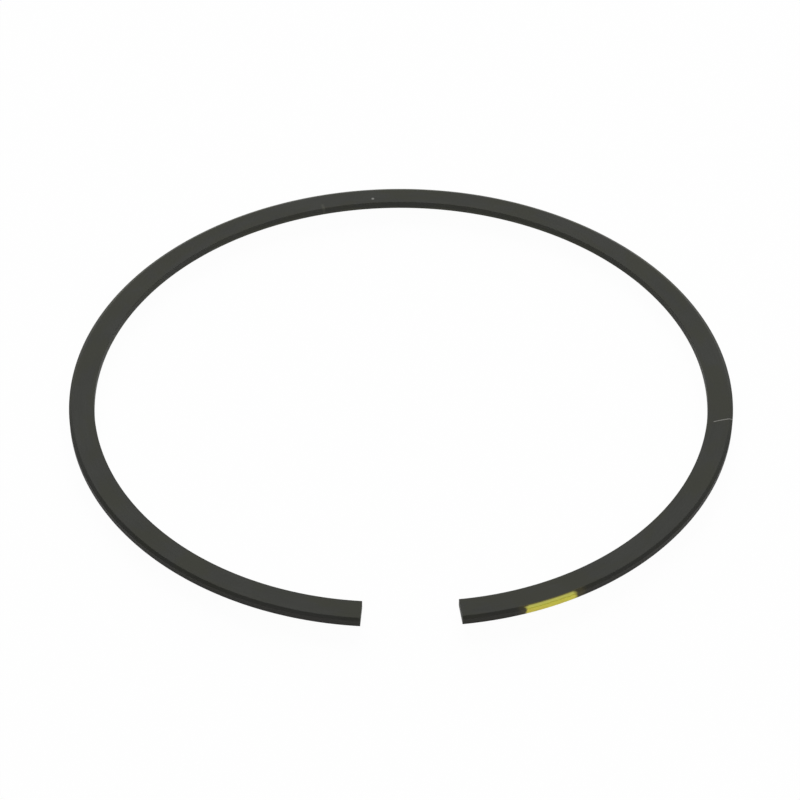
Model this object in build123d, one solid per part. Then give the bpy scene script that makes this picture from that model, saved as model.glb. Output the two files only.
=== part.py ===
"""A one-piece split piston ring, a plain oil control ring, lying free on its lower side.

Frame: +Z up, the origin at the centre of the ring's outline on its lower side face,
and the gap between its ends on -Y. All sizes are in millimetres.
"""
from build123d import *
import math
import os

# The cylinder that the ring is made for
bore_diameter = 125.0      # the ring is this wide when it is closed up in its cylinder
closed_gap = 0.4           # left between the ends in the cylinder
free_gap = 18.4            # between the ends when nothing holds the ring

# The section
radial_thickness = 5.0     # from the inner wall to the running face
axial_height = 1.75        # between the two side faces
bevel_width = 0.65         # radial width of the bevel between upper side and running face
bevel_drop = 0.3           # how far that bevel goes down the running face
upper_inner_chamfer = 0.05 # at 45 degrees, from the upper side face into the inner wall
lower_chamfer = 0.2        # at 45 degrees, both edges of the lower side face

# The free form is a chain of tangent arcs
arcs_in_ring = 24

neutral_radius = (bore_diameter - radial_thickness) / 2
half_wrap = math.pi - closed_gap / bore_diameter


def opening_for(spread):
    """How far the ring springs open, as a share of its curvature, for a spread of its ends.

    To the second order, spread / neutral_radius = 3 * pi * opening + 5/2 * pi * opening ** 2.
    """
    root = math.sqrt(9 * math.pi ** 2 + 10 * math.pi * spread / neutral_radius)
    return (root - 3 * math.pi) / (5 * math.pi)


opening = opening_for(free_gap - closed_gap)


def free_radius(angle):
    """Radius of the free ring's middle line at an angle from its back, opposite the gap.

    A ring that presses on its cylinder with an even pressure bends most at its back and
    not at all at its ends. Let go, its curvature there is smaller by opening * (1 + cos).
    """
    return neutral_radius / (1 - opening * (1 + math.cos(angle)))


def middle_line():
    """The free ring's middle line, from its +X end round the back to its -X end."""
    step = 2 * half_wrap / arcs_in_ring
    angles = [(i + 0.5) * step - half_wrap for i in range(arcs_in_ring)]
    radii = [free_radius(angle) for angle in angles]
    turns = [math.degrees(neutral_radius * step / radius) for radius in radii]
    heading = math.radians(180 - sum(turns) / 2)
    point, tangent = Vector(free_gap / 2, 0), Vector(math.cos(heading), math.sin(heading))
    arcs = []
    for radius, turn in zip(radii, turns):
        arc = JernArc(point, tangent, radius, turn)
        point, tangent = arc @ 1, arc % 1
        arcs.append(arc)
    return Wire(arcs)


def make_section():
    """The ring's section: X is outward from the middle line, Y is up from the lower side."""
    outer, inner = radial_thickness / 2, -radial_thickness / 2
    corners = [
        (inner + lower_chamfer, 0),
        (outer - lower_chamfer, 0),
        (outer, lower_chamfer),
        (outer, axial_height - bevel_drop),
        (outer - bevel_width, axial_height),
        (inner + upper_inner_chamfer, axial_height),
        (inner, axial_height - upper_inner_chamfer),
        (inner, lower_chamfer),
    ]
    return Polygon(*corners, align=None)


def make_ring():
    """The section carried along the middle line, centred on the origin."""
    line = middle_line()
    tangent = line % 0
    outward = Vector(tangent.Y, -tangent.X)
    end_plane = Plane(origin=line @ 0, x_dir=outward, z_dir=-tangent)
    ring = sweep(end_plane * make_section(), path=line)
    box = ring.bounding_box()
    centre = box.center()
    return Pos(-centre.X, -centre.Y, -box.min.Z) * ring


def main():
    os.makedirs("parts", exist_ok=True)
    export_step(make_ring(), "parts/ring.step")


main()
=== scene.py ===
# %% [markdown]
# # A one-piece oil control ring
# A piston ring is a thin split ring of cast iron. It is made wider than its cylinder, and
# springs open when it is taken out, so the free ring isn't round: it is bent least beside
# its gap. This lesson works that curve out, carries the ring's section along it, and gives
# the result the dull phosphate finish of such a ring, with its dab of marking paint.
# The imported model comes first. It is fixed: nothing here moves or resizes it.

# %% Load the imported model
import math

import bmesh
import bpy
import numpy as np
from mathutils import Matrix, Vector


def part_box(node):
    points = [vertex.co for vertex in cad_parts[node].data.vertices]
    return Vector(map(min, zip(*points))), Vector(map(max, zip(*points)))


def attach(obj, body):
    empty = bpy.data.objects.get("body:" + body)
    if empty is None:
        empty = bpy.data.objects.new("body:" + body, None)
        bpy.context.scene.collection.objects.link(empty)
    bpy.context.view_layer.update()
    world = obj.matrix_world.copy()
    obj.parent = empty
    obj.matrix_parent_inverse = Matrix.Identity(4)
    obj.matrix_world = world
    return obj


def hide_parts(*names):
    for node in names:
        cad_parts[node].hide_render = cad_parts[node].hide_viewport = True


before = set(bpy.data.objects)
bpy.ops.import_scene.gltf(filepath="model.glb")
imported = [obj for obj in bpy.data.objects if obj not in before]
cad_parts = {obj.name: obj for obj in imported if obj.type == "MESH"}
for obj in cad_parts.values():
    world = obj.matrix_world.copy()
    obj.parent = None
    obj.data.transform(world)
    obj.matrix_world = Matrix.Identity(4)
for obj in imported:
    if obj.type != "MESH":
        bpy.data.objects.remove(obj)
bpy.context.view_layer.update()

MM = 0.001
ring_low, ring_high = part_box("ring")
print("solid ring, mm:", [round((b - a) / MM, 3) for a, b in zip(ring_low, ring_high)])

# %% [markdown]
# ## The ring's own sizes
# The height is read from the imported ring. The others are the ring's driving sizes, in
# millimetres: the cylinder that it was made for, the gap between its ends when closed and
# when free, and the form of its edges. A piston ring maker's drawing gives the same ones.

# %% Driving sizes
bore_diameter = 125.0
closed_gap, free_gap = 0.4, 18.4
radial_thickness = 5.0
axial_height = (ring_high[2] - ring_low[2]) / MM
bevel_width, bevel_drop = 0.65, 0.30
upper_inner_chamfer, lower_chamfer = 0.05, 0.2

neutral_radius = (bore_diameter - radial_thickness) / 2
half_wrap = math.pi - closed_gap / bore_diameter
ring_length = 2 * half_wrap * neutral_radius
print("length along the ring, mm:", round(ring_length, 2))

# %% [markdown]
# ## The curve of a free ring
# In its cylinder the ring presses with an even pressure. Beam theory then says how much
# each stretch was bent to close it: most at the back, nothing at the ends, in proportion
# to 1 + cos(angle from the back). Let go, the ring loses that curvature. Its heading is
# the curvature added up along it, and its place is the heading added up. A circle with a
# gap cut out of it would be the easy way, and it would miss the outline of the real ring
# by a millimetre.

# %% The middle line as a function of the angle from the back
spread = (free_gap - closed_gap) / neutral_radius
opening = (math.sqrt(9 * math.pi ** 2 + 10 * math.pi * spread) - 3 * math.pi) / (5 * math.pi)


def heading(angle):
    """Heading of the middle line: angle - opening * (angle + sin(angle))."""
    return angle - opening * (angle + np.sin(angle))


def middle_line(angle):
    """Place and outward direction of the middle line, from the back at angle 0.

    The place is the sum of (-cos(heading), -sin(heading)) * neutral_radius over the angle.
    """
    fine = np.linspace(-half_wrap, half_wrap, 8001)
    step = fine[1] - fine[0]
    slope = -neutral_radius * np.stack([np.cos(heading(fine)), np.sin(heading(fine))])
    sums = np.cumsum((slope[:, 1:] + slope[:, :-1]) / 2 * step, axis=1)
    place = np.concatenate([np.zeros((2, 1)), sums], axis=1)
    place -= place[:, [len(fine) // 2]]
    x, y = (np.interp(angle, fine, row) for row in place)
    outward = np.stack([-np.sin(heading(angle)), np.cos(heading(angle))], axis=-1)
    return np.stack([x, y], axis=-1), outward


ends = middle_line(np.array([-half_wrap, half_wrap]))[0]
print("gap along the middle line, mm:", round(float(ends[0, 0] - ends[1, 0]), 2))

# %% [markdown]
# ## The section
# The section is a flat rectangle with a shallow bevel on its upper outer edge, which leaves
# a narrower running face to scrape the oil. The other edges are only broken. A real edge is
# never quite sharp, so each corner here gets a small arc of its own. Beside each arc lies a
# holding point: smooth shading blends the normals between neighbouring points, and the
# holding points keep that blend off the wide flat faces.

# %% Corners of the section, each with its own arc
outer, inner = radial_thickness / 2, -radial_thickness / 2
broken_edge, bevel_edge = 0.035, 0.06
corners = [
    (inner + lower_chamfer, 0.0, broken_edge),
    (outer - lower_chamfer, 0.0, broken_edge),
    (outer, lower_chamfer, broken_edge),
    (outer, axial_height - bevel_drop, bevel_edge),
    (outer - bevel_width, axial_height, bevel_edge),
    (inner + upper_inner_chamfer, axial_height, broken_edge),
    (inner, axial_height - upper_inner_chamfer, broken_edge),
    (inner, lower_chamfer, broken_edge),
]
holding = 0.008
degrees_a_step = 16


def rounded_section(corners):
    """Points of the section and their normals, anticlockwise from the lower inner edge.

    Each corner is replaced by an arc of its radius r that touches both its sides at
    r * tan(turn / 2) from the corner, with a holding point just beyond each end.
    """
    points, normals = [], []
    places = np.array([corner[:2] for corner in corners])
    for i, (_, _, radius) in enumerate(corners):
        before, after = places[i] - places[i - 1], places[(i + 1) % len(places)] - places[i]
        before, after = before / np.linalg.norm(before), after / np.linalg.norm(after)
        start = math.atan2(-before[0], before[1])
        turn = math.atan2(before[0] * after[1] - before[1] * after[0], before @ after)
        reach = radius * math.tan(turn / 2)
        centre = places[i] - before * reach + radius * np.array([-before[1], before[0]])
        steps = max(3, round(math.degrees(turn) / degrees_a_step))
        a = start + np.linspace(0, turn, steps + 1)
        arc_normals = np.stack([np.cos(a), np.sin(a)], axis=1)
        arc = centre + radius * arc_normals
        points += [arc[:1] - before * holding, arc, arc[-1:] + after * holding]
        normals += [arc_normals[:1], arc_normals, arc_normals[-1:]]
    return np.concatenate(points), np.concatenate(normals)


section, section_normals = rounded_section(corners)
print("points round the section:", len(section))

# %% [markdown]
# ## Carrying the section along the curve
# The wall of the ring is a grid: stations along the curve one way, points round the section
# the other. Blender could sweep a bevelled curve instead, but then the ends would be sharp
# and no point would know its place along the ring. Near each end the stations crowd
# together and the section is drawn in along its normals, which rounds the rim of the cut.
# Every point keeps its place along, outward and up as an attribute for the materials.

# %% Stations and the grid of points
def end_stations(rim_round, steps=3):
    """Distances from the cut end, and how far the section is drawn in there.

    Over the rim the distance is r * (1 - sin(t)) and the inset r * (1 - cos(t)), and two
    holding stations lie beside it: one on the flat of the cut and one on the wall.
    """
    t = np.linspace(math.pi / 2, 0, steps + 1)
    distance = np.concatenate([[0.0], rim_round * (1 - np.sin(t)), [rim_round + holding]])
    inset = np.concatenate([[rim_round + holding], rim_round * (1 - np.cos(t)), [0.0]])
    return distance, inset


rim_round = 0.025
stations_between = 480
near, near_inset = end_stations(rim_round)
between = np.linspace(near[-1], ring_length - near[-1], stations_between)[1:-1]
along = np.concatenate([near, between, ring_length - near[::-1]])
inset = np.concatenate([near_inset, np.zeros_like(between), near_inset[::-1]])
centre_line, outward = middle_line(along / neutral_radius - half_wrap)

drawn = section[None] - inset[:, None, None] * section_normals[None]
points = np.empty((len(along), len(section), 3))
points[..., :2] = centre_line[:, None] + drawn[..., :1] * outward[:, None]
points[..., 2] = drawn[..., 1]
along_each = np.broadcast_to(along[:, None, None], drawn[..., :1].shape)
place = np.concatenate([along_each, drawn], axis=2)
print("stations along the ring:", len(along))

# %% The mesh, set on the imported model's centre
own_centre = (points.min(axis=(0, 1)) + points.max(axis=(0, 1))) / 2
cad_centre = (np.array(ring_low) + np.array(ring_high)) / 2 / MM
points[..., :2] += cad_centre[:2] - own_centre[:2]


def grid_faces(rows, columns):
    """Quads of a grid that closes on itself: row * columns + column, then the next of each."""
    row, column = np.meshgrid(np.arange(rows - 1), np.arange(columns), indexing="ij")
    following = (column + 1) % columns
    quads = [row * columns + column, row * columns + following,
             (row + 1) * columns + following, (row + 1) * columns + column]
    return np.stack(quads, axis=-1).reshape(-1, 4)


first_cut = np.arange(len(section))[::-1]
last_cut = (len(along) - 1) * len(section) + np.arange(len(section))
faces = grid_faces(len(along), len(section)).tolist() + [first_cut.tolist(), last_cut.tolist()]

ring_mesh = bpy.data.meshes.new("ring_body")
ring_mesh.from_pydata((points.reshape(-1, 3) * MM).tolist(), [], faces)
ring_mesh.shade_smooth()
place_on_ring = ring_mesh.attributes.new("place", "FLOAT_VECTOR", "POINT")
place_on_ring.data.foreach_set("vector", place.astype(np.float32).ravel())
ring_body = bpy.data.objects.new("ring_body", ring_mesh)
bpy.context.collection.objects.link(ring_body)

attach(ring_body, "root")
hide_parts("ring")

own_low, own_high = points.min(axis=(0, 1)), points.max(axis=(0, 1))
off = np.abs(np.array([own_low, own_high]) - np.array([ring_low, ring_high]) / MM)
print("faces:", len(faces), " largest difference from the solid's box, mm:", off.max().round(4))
measured = bmesh.new()
measured.from_mesh(ring_mesh)
print("volume, mm3:", round(measured.calc_volume(signed=True) / MM ** 3, 1))
measured.free()

# %% [markdown]
# ## Writing shader sums as Python
# The finish is a stack of masks: where the paint is, where a hair lies, how the grain
# runs. Each is arithmetic on the place along, outward and up. A small class turns that
# arithmetic into Math nodes, and its one method adds any other node.

# %% A socket that takes Python's operators
class Wire:
    """A node's output; each operator on it adds a Math node, also with a number first."""

    def __init__(self, socket):
        self.socket = socket

    @classmethod
    def node(cls, tree, kind, settings=None, values=None, output=0):
        """Add a node of a kind: its settings first, then its sockets' values or links."""
        node = tree.nodes.new(kind)
        for name, setting in (settings or {}).items():
            setattr(node, name, setting)
        for name, value in (values or {}).items():
            if isinstance(value, Wire):
                tree.links.new(value.socket, node.inputs[name])
            else:
                node.inputs[name].default_value = value
        return cls(node.outputs[output])

    def math(self, operation, first, second):
        """Add a Math node of an operation to two wires or numbers."""
        settings, values = {"operation": operation}, {0: first, 1: second}
        return Wire.node(self.socket.id_data, "ShaderNodeMath", settings, values)

    def __add__(self, other): return self.math("ADD", self, other)
    def __sub__(self, other): return self.math("SUBTRACT", self, other)
    def __mul__(self, other): return self.math("MULTIPLY", self, other)
    def __rsub__(self, other): return self.math("SUBTRACT", other, self)
    __radd__, __rmul__ = __add__, __mul__

    def rises(self, low, high):
        """0 below low, 1 above high, and a smooth step between them."""
        values = {"Value": self, "From Min": low, "From Max": high}
        settings = {"interpolation_type": "SMOOTHSTEP"}
        return Wire.node(self.socket.id_data, "ShaderNodeMapRange", settings, values)


def within(value, low, high, soft):
    """1 between low and high, fading to 0 over a width of soft at each end."""
    above_low = value.rises(low - soft / 2, low + soft / 2)
    above_high = value.rises(high - soft / 2, high + soft / 2)
    return above_low * (1 - above_high)


def tint(colour, mask, paint):
    """The colour, mixed with another by a mask: colour * (1 - mask) + paint * mask."""
    tree = mask.socket.id_data
    settings = {"data_type": "RGBA"}
    return Wire.node(tree, "ShaderNodeMix", settings, {0: mask, 6: colour, 7: paint}, output=2)


# %% [markdown]
# ## Where things are on the ring
# Everything on the ring is found by the point attribute made above, in millimetres: along
# from the right-hand end, outward from the middle line, and up from the lower side. Object
# coordinates would do for the grain, but a mark that runs along the ring would bend away.

# %% The ring's own coordinates in its material
cast_iron = bpy.data.materials.new("phosphated_cast_iron")
cast_iron.use_nodes = True
tree = cast_iron.node_tree
shader = tree.nodes["Principled BSDF"]

place_wire = Wire.node(tree, "ShaderNodeAttribute", {"attribute_name": "place"}, output=1)
separate = Wire.node(tree, "ShaderNodeSeparateXYZ", None, {0: place_wire}).socket.node
run, out, up = (Wire(separate.outputs[i]) for i in range(3))


def grain(size, detail=2.0, stretch=(1.0, 1.0, 1.0), vector=place_wire):
    """Noise from 0 to 1 with features of a size in mm, stretched along, outward or up."""
    scale = tuple(1 / (size * s) for s in stretch)
    scaled = Wire.node(tree, "ShaderNodeVectorMath", {"operation": "MULTIPLY"},
                       {0: vector, 1: scale})
    return Wire.node(tree, "ShaderNodeTexNoise", None,
                     {"Vector": scaled, "Scale": 1.0, "Detail": detail})


# %% [markdown]
# ## Phosphated iron
# Phosphating turns the skin of the iron into a mat of dark grey crystals that holds oil.
# It looks matt and even from afar; close up it has a fine grain, soft clouds where the
# bath worked longer, and patches where the oil has dried to a faint olive film. The foot of
# the inner wall is painted lighter and warmer: painted light, for the light that the table
# throws back onto it. The running face has been turned and is a shade darker and browner.
# The lapped side faces keep a trace of the lapping, as fine lines that run along the ring.
# Noise of four sizes gives all this; a picture of a cast surface would give one size only,
# and show its repeats.

# %% Colour, roughness and relief of the iron
clouds = grain(7.0, detail=3.0, stretch=(1.6, 1.0, 1.0))
crystals = grain(0.22, detail=3.0)
lapping = grain(0.12, detail=1.0, stretch=(40.0, 1.0, 1.0))

iron_dark, iron_light = (0.0445, 0.0455, 0.0414, 1.0), (0.0605, 0.0617, 0.0564, 1.0)
# The second colour on the next line is painted light: a lighter, warmer tone for the table's
# light on the foot of the inner wall.
olive_film, painted_bounce_colour = (0.0520, 0.0530, 0.0415, 1.0), (0.0880, 0.0900, 0.0720, 1.0)
turned_iron = (0.0405, 0.0385, 0.0360, 1.0)
iron_tone = (clouds * 0.25 + crystals * 0.55 + lapping * 0.20).rises(0.30, 0.70)
iron_colour = tint(iron_dark, iron_tone, iron_light)

film = grain(3.5, detail=2.0, stretch=(2.0, 1.0, 1.0)).rises(0.38, 0.62)
iron_colour = tint(iron_colour, film * 0.65, olive_film)
inner_wall = 1 - out.rises(inner + 0.04, inner + 0.10)
# Painted light: the inner wall is made lighter towards its foot, standing in for the light the
# table throws back onto it.
bounce_light_bottom, bounce_light_top = 0.30, 1.00
painted_bounce_light = inner_wall * (1 - up.rises(bounce_light_bottom, bounce_light_top)) * (0.5 + film * 0.5)
iron_colour = tint(iron_colour, painted_bounce_light * 0.9, painted_bounce_colour)
running_face = out.rises(outer - 0.10, outer - 0.01)
iron_colour = tint(iron_colour, running_face * 0.5, turned_iron)
iron_roughness = 0.55 + (crystals - 0.5) * 0.10 + (lapping - 0.5) * 0.06
iron_relief = crystals * 0.8 + lapping * 0.2
print("nodes with the iron:", len(tree.nodes))

# %% [markdown]
# ## The paint mark
# Makers dab paint on the running face beside the gap, to tell rings of one set apart. The
# dab covers face and bevel, with a darker line along the corner between them. On the bevel
# its yellow is painted lighter: painted light, for the light that the bevel catches. Its ends
# are brushed out into a brown smear, where the iron shows through. A flat patch of yellow
# would look like tape, so cover and colour both come from one soft mask.

# %% Mask and colour of the dab
dab_starts, dab_ends = (10.95, 12.25), (20.6, 22.4)
smear_from, smear_to = 10.4, 23.1
bevel_foot = axial_height - bevel_drop

ragged_run = run + (grain(0.9, detail=3.0) - 0.5) * 1.2
above_foot = up.rises(0.05, 0.22)
dab = ragged_run.rises(*dab_starts) * (1 - ragged_run.rises(*dab_ends))
dab = dab * out.rises(1.58, 2.32) * above_foot
smear = within(ragged_run, smear_from, smear_to, 1.6) * out.rises(1.60, 1.95) * above_foot
# A darker line of the dab along the corner between the running face and the bevel.
corner_line = within(up + (grain(1.5) - 0.5) * 0.12, bevel_foot - 0.20, bevel_foot, 0.14)
# Painted light: the strip of the dab on the bevel, where its colour is made lighter.
bevel_painted_light_mask = up.rises(bevel_foot - 0.07, bevel_foot + 0.07)

paint_full, paint_orange = (0.87, 0.83, 0.125, 1.0), (0.87, 0.76, 0.135, 1.0)
# The first colour on the next line is painted light: the dab's yellow made lighter where it
# lies on the bevel.
bevel_paint_painted_light, paint_corner_line = (0.91, 0.89, 0.195, 1.0), (0.64, 0.59, 0.058, 1.0)
paint_smeared = (0.26, 0.22, 0.085, 1.0)
paint = tint(paint_full, grain(1.4, detail=2.0).rises(0.40, 0.65), paint_orange)
# Painted light: the dab is painted lighter on the bevel.
paint = tint(paint, bevel_painted_light_mask, bevel_paint_painted_light)
paint = tint(paint, corner_line, paint_corner_line)
paint = tint(paint_smeared, dab.rises(0.20, 0.90), paint)
dab_cover = dab.rises(0.1, 0.9)
dab_cover = dab_cover + (1 - dab_cover) * smear * 0.20
print("nodes with the paint:", len(tree.nodes))

# %% [markdown]
# ## A hair, a speck and a drip
# The photographed ring isn't spotless. A pale hair lies across its upper side on the right,
# a speck of dust sits near its back, and a faint drip left by the bath crosses the inner
# edge. They are places in the same coordinates, so they are three more masks.

# %% Masks of the small marks
hair_run, hair_slant, hair_bend = 78.42, 0.455, 0.042
hair_line = hair_run + out * hair_slant - out * out * hair_bend
over_bevel = up.rises(bevel_foot - 0.08, bevel_foot)
hair = within(run - hair_line, -0.11, 0.11, 0.10) * out.rises(-1.3, -1.1) * over_bevel

speck_run, speck_out = 192.6, -1.0
on_top = up.rises(axial_height - 0.35, axial_height - 0.05)
run_to_speck, out_to_speck = run - speck_run, out - speck_out
speck_far = run_to_speck * run_to_speck + out_to_speck * out_to_speck * 0.8
speck = (1 - speck_far.rises(0.01, 0.15)) * on_top

drip_from, drip_to = 203.55, 204.1
drip = within(run + (grain(1.2) - 0.5) * 0.3, drip_from, drip_to, 0.3)
drip = drip * (1 - out.rises(-1.3, -0.7))

finish_colour = tint(iron_colour, drip * 0.5, (0.094, 0.096, 0.079, 1.0))
finish_colour = tint(finish_colour, hair * 0.9, (0.24, 0.235, 0.22, 1.0))
finish_colour = tint(finish_colour, speck * 0.95, (0.24, 0.24, 0.225, 1.0))
finish_colour = tint(finish_colour, dab_cover, paint)
print("nodes with the marks:", len(tree.nodes))

# %% [markdown]
# ## Putting the finish together
# One shader takes the stack. The paint is a little smoother than the iron, and a Bump node
# turns grain, paint and hair into relief: the dab stands a few hundredths of a millimetre
# proud, far too little for the mesh.

# %% The shader's sockets
finish_roughness = iron_roughness * (1 - dab_cover) + dab_cover * 0.42
relief = iron_relief * (1 - dab_cover) * 0.006 + dab_cover * 0.03 + hair * 0.02 + speck * 0.04
bump = Wire.node(tree, "ShaderNodeBump", None,
                 {"Strength": 0.5, "Distance": MM, "Height": relief})
shader.inputs["Specular IOR Level"].default_value = 0.06
for socket, wire in (("Base Color", finish_colour), ("Roughness", finish_roughness),
                     ("Normal", bump)):
    tree.links.new(wire.socket, shader.inputs[socket])
ring_mesh.materials.append(cast_iron)
print("nodes in the finish:", len(tree.nodes))

# %% [markdown]
# ## Table
# The ring was photographed on white. The table is a wide disc that the camera and the
# reflections see as white, with a share of real shading left in it for the ring's shadow.
# It is a grid over angle and radius; its rings grow in steady steps.

# %% The white table
def disc(radii, sides, height):
    """Points at radius * (cos(angle), sin(angle)) and a height, one row for each radius."""
    angle = np.linspace(0, 2 * math.pi, sides, endpoint=False)
    spokes = np.stack([np.cos(angle), np.sin(angle), np.zeros(sides)], axis=1)
    return (np.asarray(radii)[:, None, None] * spokes).reshape(-1, 3) + (0, 0, height)


table_top = -0.00002
radii, sides = np.geomspace(0.05, 3.0, 8), 96
disc_faces = grid_faces(len(radii), sides)[:, ::-1].tolist() + [list(range(sides))]
table_mesh = bpy.data.meshes.new("white_table")
table_mesh.from_pydata(disc(radii, sides, table_top).tolist(), [], disc_faces)
white_table = bpy.data.objects.new("white_table", table_mesh)
bpy.context.collection.objects.link(white_table)

# %% The table's material
white = bpy.data.materials.new("white_table")
white.use_nodes = True
tree = white.node_tree
tree.nodes["Principled BSDF"].inputs["Base Color"].default_value = (0.84, 0.84, 0.84, 1.0)
tree.nodes["Principled BSDF"].inputs["Roughness"].default_value = 0.9
tree.nodes["Principled BSDF"].inputs["Specular IOR Level"].default_value = 0.0
glow = Wire.node(tree, "ShaderNodeEmission", None, {"Color": (1.0, 1.0, 1.0, 1.0)})
paths = Wire.node(tree, "ShaderNodeLightPath").socket.node
seen = Wire(paths.outputs["Is Camera Ray"]) + Wire(paths.outputs["Is Transmission Ray"])
seen = seen + Wire(paths.outputs["Is Glossy Ray"])
white_share = 0.97
shaded = Wire(tree.nodes["Principled BSDF"].outputs[0])
mixed = Wire.node(tree, "ShaderNodeMixShader", None,
                  {0: seen * white_share, 1: shaded, 2: glow})
tree.links.new(mixed.socket, tree.nodes["Material Output"].inputs["Surface"])
table_mesh.materials.append(white)
print("table radius, m:", radii[-1])

# %% [markdown]
# ## Light
# The photo's light is low and comes from behind: the upper side is the brightest, the
# bevel at the front looks away from it and is darkest of all, and the walls that face the
# camera get what the table throws back. One lamp overhead would light the bevel as much as
# the upper side and lose the dark line between them. So a wide low softbox stands behind,
# far enough away that the ring's front gets as much of it as its back. A weak one stands
# in front and one to the right, and a dim room fills in. Their levels add up to 1, at
# which a colour renders as it is written; they came from rendering each lamp alone and
# finding the sum that fits the photo's tones along the ring.

# %% The lamps
def aim(thing, place, target):
    """Put a lamp at a place and turn it towards a target."""
    thing.location = place
    thing.rotation_euler = (Vector(target) - Vector(place)).to_track_quat("-Z", "Y").to_euler()


def softbox(name, bearing, height, distance, width, tall, level):
    """A rectangular lamp that gives the table a level of white light from one side.

    Its radiance is level * pi / (solid angle * sin(height)), and its power pi * area * that.
    """
    bearing, height = math.radians(bearing), math.radians(height)
    data = bpy.data.lights.new(name, "AREA")
    data.shape, data.size, data.size_y = "RECTANGLE", width, tall
    solid_angle = width * tall / (distance ** 2 + width ** 2 / 12)
    data.energy = level * math.pi ** 2 * width * tall / (solid_angle * math.sin(height))
    lamp = bpy.data.objects.new(name, data)
    bpy.context.collection.objects.link(lamp)
    lamp.visible_camera = lamp.visible_glossy = False
    flat = distance * math.cos(height)
    aim(lamp, (flat * math.sin(bearing), flat * math.cos(bearing), distance * math.sin(height)),
        (0.0, 0.0, 0.0))
    print(name, "watts:", round(data.energy, 1))


softbox("backlight", 0, 12, 6.0, width=4.5, tall=1.75, level=0.60)
softbox("side_light", 80, 28, 2.4, width=1.4, tall=0.8, level=0.065)
softbox("fill", 180, 18, 2.4, width=2.0, tall=0.8, level=0.07)

# %% The world
world = bpy.data.worlds.new("white_room")
world.use_nodes = True
bpy.context.scene.world = world
tree = world.node_tree
tree.nodes.clear()
direction = Wire.node(tree, "ShaderNodeTexCoord")
height = Wire.node(tree, "ShaderNodeSeparateXYZ", None, {0: direction}, output=2)
paths = Wire.node(tree, "ShaderNodeLightPath").socket.node
room_level = 0.265
backdrop = 1 - height.rises(0.35, 0.70)
seen = Wire(paths.outputs["Is Camera Ray"]) + Wire(paths.outputs["Is Transmission Ray"])
seen = seen + Wire(paths.outputs["Is Glossy Ray"]) * backdrop
level = seen + (1 - seen) * room_level
room = Wire.node(tree, "ShaderNodeBackground", None,
                 {"Color": (1.0, 1.0, 1.0, 1.0), "Strength": level})
room_output = tree.nodes.new("ShaderNodeOutputWorld")
tree.links.new(room.socket, room_output.inputs["Surface"])
print("room level:", room_level)

# %% [markdown]
# ## Camera
# The photo was taken with a long lens from 42 degrees above the table. Lens, distance and
# tilt were found by fitting the free ring's own curve to its outline in the photo; the
# camera stands a little round to one side and is tilted a fifth of a degree.

# %% The camera
image_pixels, focal_pixels = 800, 2926.05
origin_pixel = (400.89, 392.54)
elevation, turn, roll = (math.radians(angle) for angle in (42.104, 1.84, -0.1887))
distance = 0.58513
aside, below = ((pixel - image_pixels / 2) / focal_pixels for pixel in origin_pixel)

forward = Vector((0, math.cos(elevation), -math.sin(elevation)))
level_right, level_up = Vector((1, 0, 0)), Vector((0, math.sin(elevation), math.cos(elevation)))
right = level_right * math.cos(roll) - level_up * math.sin(roll)
upward = level_right * math.sin(roll) + level_up * math.cos(roll)
stand = (-forward - right * aside + upward * below) * distance
axes = Matrix((right, upward, -forward)).transposed().to_4x4()

camera_data = bpy.data.cameras.new("camera")
camera_data.sensor_width = 36.0
camera_data.lens = focal_pixels / image_pixels * camera_data.sensor_width
camera = bpy.data.objects.new("camera", camera_data)
bpy.context.collection.objects.link(camera)
camera.matrix_world = Matrix.Rotation(-turn, 4, "Z") @ Matrix.Translation(stand) @ axes
bpy.context.scene.camera = camera
bpy.context.scene.view_settings.view_transform = "Standard"
print("lens, mm:", round(camera_data.lens, 1))
print("camera at, m:", [round(value, 3) for value in camera.matrix_world.translation])
